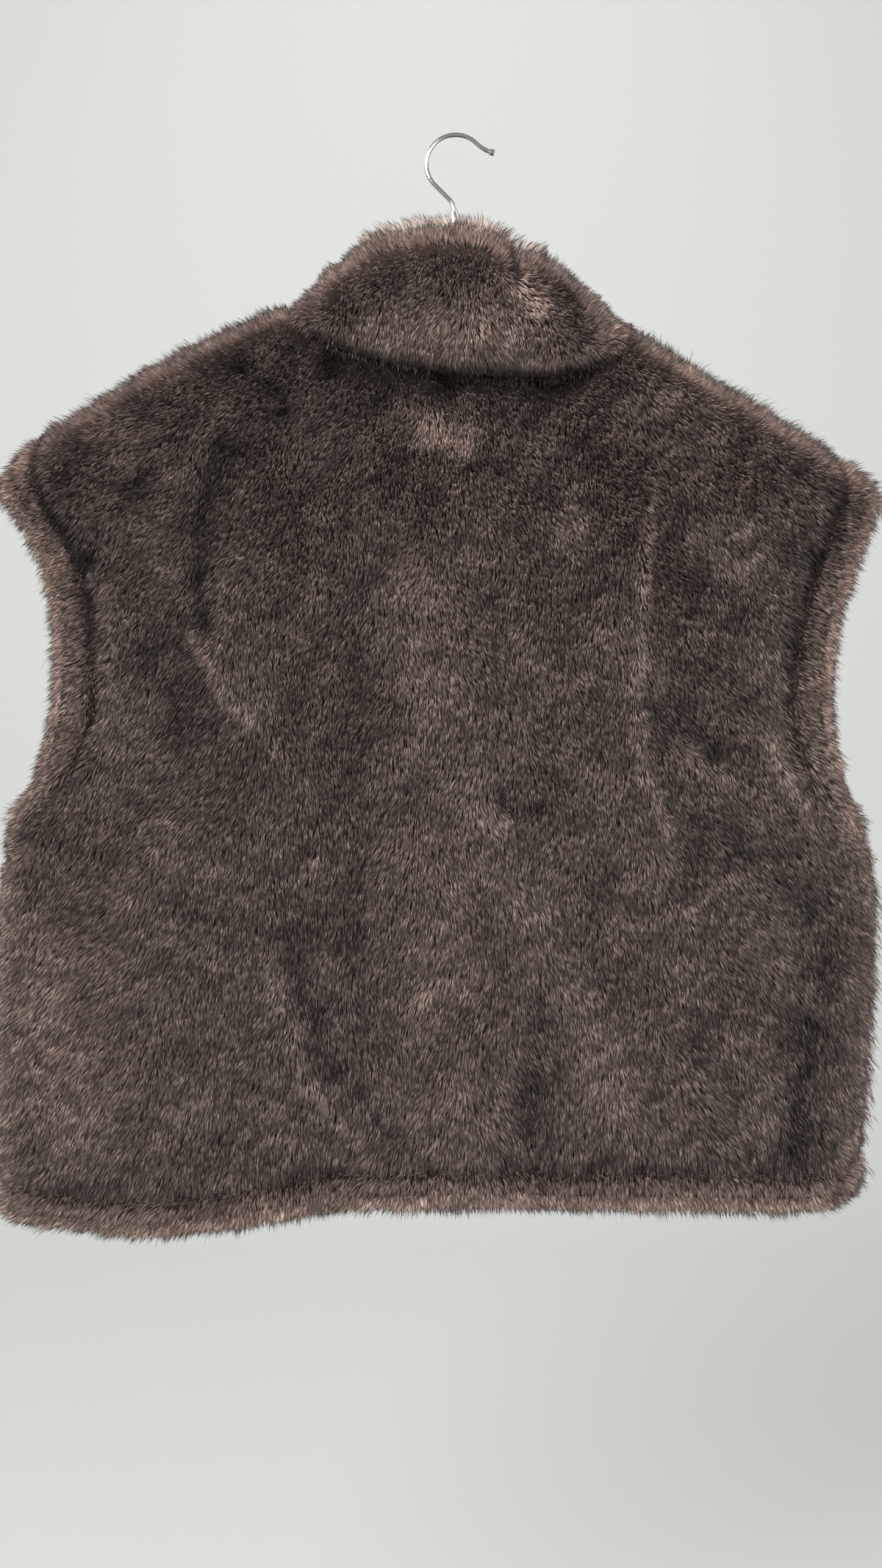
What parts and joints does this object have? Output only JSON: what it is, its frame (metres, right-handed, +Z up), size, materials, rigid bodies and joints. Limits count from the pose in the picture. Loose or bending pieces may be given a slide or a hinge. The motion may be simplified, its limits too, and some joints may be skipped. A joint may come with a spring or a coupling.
{
  "type": "faux fur vest on a hanger",
  "caption": "Cropped sleeveless fur vest with a tall stand collar, banded armholes and hem, hanging flat on a slim hanger with a wire hook.",
  "frame": {"origin": "the inside of the hook's top, where it rests on a nail or rail", "axes": "+Z up, +X to the right when looking at the garment's back, +Y from the garment's back to its front"},
  "size_m": [0.5963, 0.0948, 0.7394],
  "materials": {
    "taupe_fur": "plush",
    "taupe_fur_band": "plush",
    "taupe_fur_collar": "plush",
    "hanger_wood": "satin",
    "hook_steel": "polished"
  },
  "bodies": {
    "root": {"back_panel": "taupe_fur", "front_panel_left": "taupe_fur", "front_panel_right": "taupe_fur", "hem_band_back": "taupe_fur_band", "hem_band_left": "taupe_fur_band", "hem_band_right": "taupe_fur_band", "armhole_band_left": "taupe_fur_band", "armhole_band_right": "taupe_fur_band", "collar": "taupe_fur_collar", "hanger": "hanger_wood", "hook": "hook_steel"}
  },
  "joints": []
}
